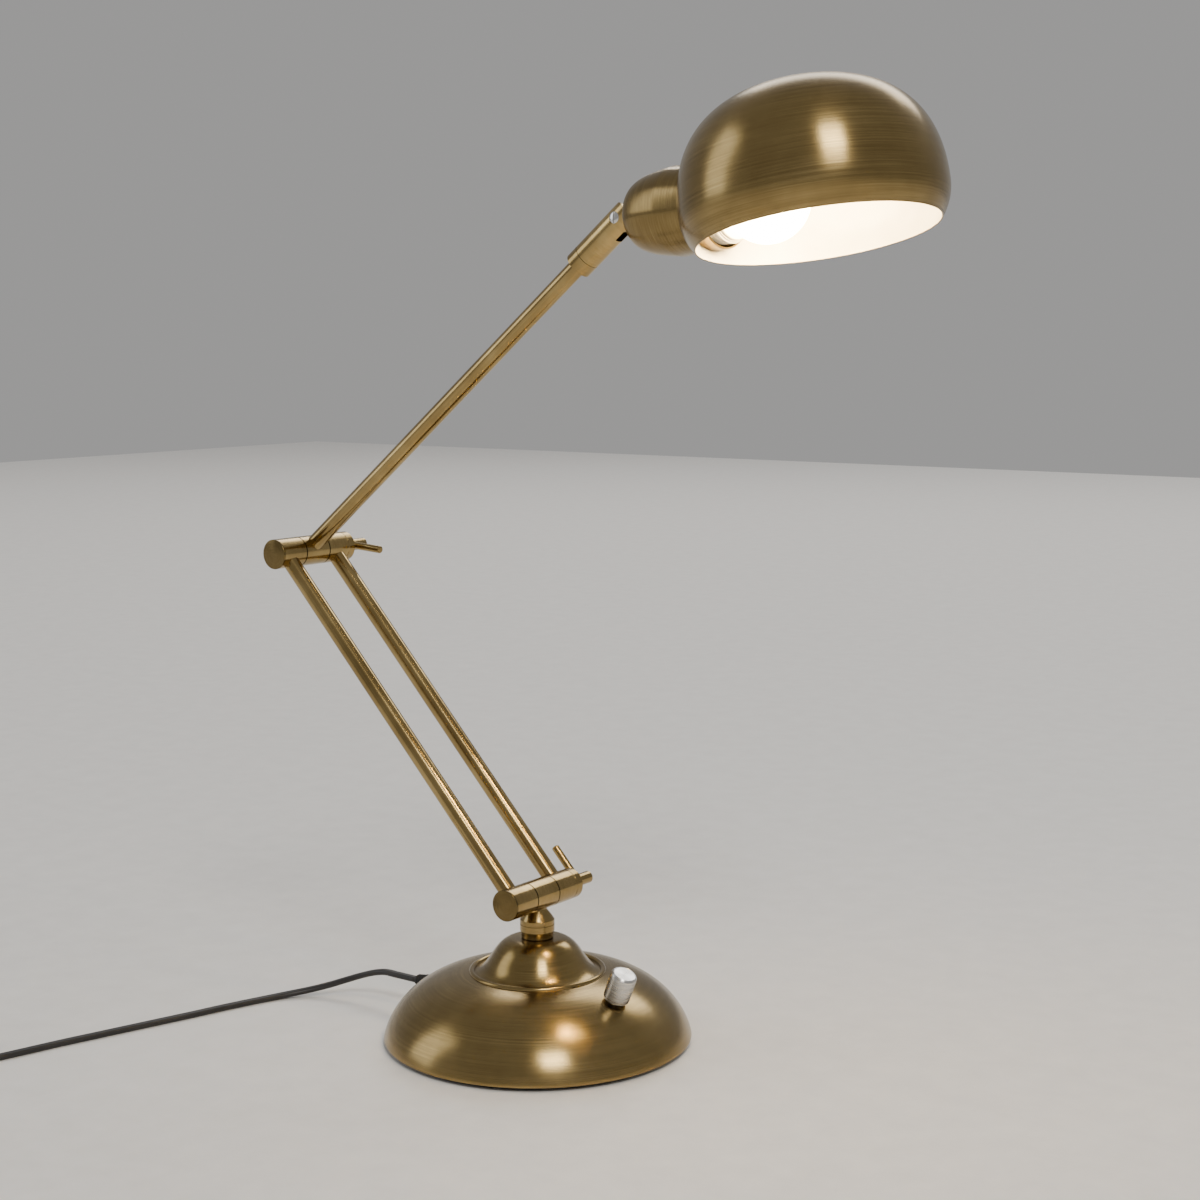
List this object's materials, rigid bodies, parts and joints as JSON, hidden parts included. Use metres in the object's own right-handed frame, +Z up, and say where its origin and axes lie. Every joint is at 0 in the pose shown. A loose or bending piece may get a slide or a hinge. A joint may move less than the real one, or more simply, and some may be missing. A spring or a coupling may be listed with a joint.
{
  "type": "swing arm desk lamp",
  "caption": "Desk lamp with a bell-shaped round base, twin lower rods, a single upper tube, two clamped friction hinges and a turning, tilting dome shade.",
  "frame": {"origin": "centre of the foot pad's underside, on the table", "axes": "+Z up; +X along the arm's plane towards the shade; +Y along the two friction hinges, away from their capped ends"},
  "size_m": [0.5832, 0.4085, 0.533],
  "materials": {
    "antique_brass": "antique brass, brushed round the turned parts and lacquered",
    "zinc_steel": "plain zinc plated steel",
    "nickel": "bright nickel plate",
    "knob_aluminium": "turned aluminium with a fine knurl",
    "casting": "rough cast iron",
    "pad_rubber": "soft black rubber",
    "cord_black": "satin black flexible cord",
    "plug_black": "matte black moulded plastic",
    "inner_plastic": "plain pale moulded plastic",
    "holder_thermoset": "cream moulded lamp holder",
    "contact_brass": "plain brass contact",
    "bulb_glass": "frosted glass envelope",
    "bulb_stem": "clear glass stem with support wires"
  },
  "bodies": {
    "base": {"base_shell": "antique_brass", "bottom_plate": "zinc_steel", "foot_pad": "pad_rubber", "cast_weight": "casting", "plate_screws": "zinc_steel", "dimmer_body": "plug_black", "dimmer_nut": "zinc_steel", "terminal_block": "inner_plastic", "cord_strain_relief": "cord_black", "cord_tail": "cord_black", "cord_clamp": "inner_plastic", "power_cord": "cord_black", "power_cord_coil": "cord_black", "power_cord_end": "cord_black", "cord_tie": "plug_black", "plug_body": "plug_black", "plug_pins": "nickel"},
    "dimmer": {"dimmer_shaft": "zinc_steel", "dimmer_knob": "knob_aluminium"},
    "neck": {"swivel_stem": "zinc_steel", "swivel_washer": "zinc_steel", "swivel_nut": "zinc_steel", "neck_collar": "antique_brass", "lower_mid_knuckle": "antique_brass"},
    "lower_arm": {"lower_front_knuckle": "antique_brass", "lower_rear_knuckle": "antique_brass", "lower_end_cap": "antique_brass", "lower_seam_washers": "pad_rubber", "lower_clamp_bolt": "zinc_steel", "front_rod": "antique_brass", "rear_rod": "antique_brass", "rear_rod_wire": "cord_black", "elbow_front_knuckle": "antique_brass", "elbow_rear_knuckle": "antique_brass", "elbow_end_cap": "antique_brass", "elbow_seam_washers": "pad_rubber", "elbow_clamp_bolt": "zinc_steel"},
    "lower_lever": {"lower_clamp_lever": "antique_brass"},
    "elbow_lever": {"elbow_clamp_lever": "antique_brass"},
    "upper_arm": {"elbow_mid_knuckle": "antique_brass", "upper_tube": "antique_brass", "upper_tube_wire": "cord_black", "sleeve_stop_ring": "antique_brass"},
    "sleeve": {"clevis_sleeve": "antique_brass", "pivot_screw": "nickel", "pivot_nut": "nickel"},
    "head": {"head_tongue": "antique_brass", "socket_cup": "antique_brass", "cup_screw": "zinc_steel", "lamp_shade": "antique_brass", "lamp_holder": "holder_thermoset", "holder_shade_ring": "holder_thermoset", "holder_contact": "contact_brass", "bulb_cap": "nickel", "bulb_glass": "bulb_glass", "bulb_stem": "bulb_stem"}
  },
  "joints": [
    {"name": "base_swivel", "type": "hinge", "parent": "base", "child": "neck", "pos_m": [0, 0, 0.0605], "axis": [0, 0, 1], "range_deg": [-165, 165]},
    {"name": "lower_pivot", "type": "hinge", "parent": "neck", "child": "lower_arm", "pos_m": [0, 0, 0.0855], "axis": [0, 1, 0], "range_deg": [-35, 63]},
    {"name": "elbow_pivot", "type": "hinge", "parent": "lower_arm", "child": "upper_arm", "pos_m": [-0.17596, 0, 0.27419], "axis": [0, -1, 0], "range_deg": [-55, 80]},
    {"name": "head_swivel", "type": "hinge", "parent": "upper_arm", "child": "sleeve", "pos_m": [0.06185, 0, 0.46676], "axis": [0.7771, 0, 0.6293], "range_deg": [-150, 150]},
    {"name": "head_tilt", "type": "hinge", "parent": "sleeve", "child": "head", "pos_m": [0.06185, 0, 0.46676], "axis": [0.0548, 0.9962, -0.0677], "range_deg": [-90, 60]},
    {"name": "dimmer_turn", "type": "hinge", "parent": "base", "child": "dimmer", "pos_m": [0.05981, -0.00629, 0.03548], "axis": [0.3884, -0.0408, 0.9206], "range_deg": [0, 280]},
    {"name": "lower_lever_turn", "type": "hinge", "parent": "lower_arm", "child": "lower_lever", "pos_m": [0, 0.0388, 0.0855], "axis": [0, 1, 0], "range_deg": [-60, 60]},
    {"name": "elbow_lever_turn", "type": "hinge", "parent": "lower_arm", "child": "elbow_lever", "pos_m": [-0.17596, 0.0388, 0.27419], "axis": [0, 1, 0], "range_deg": [-60, 60]}
  ]
}
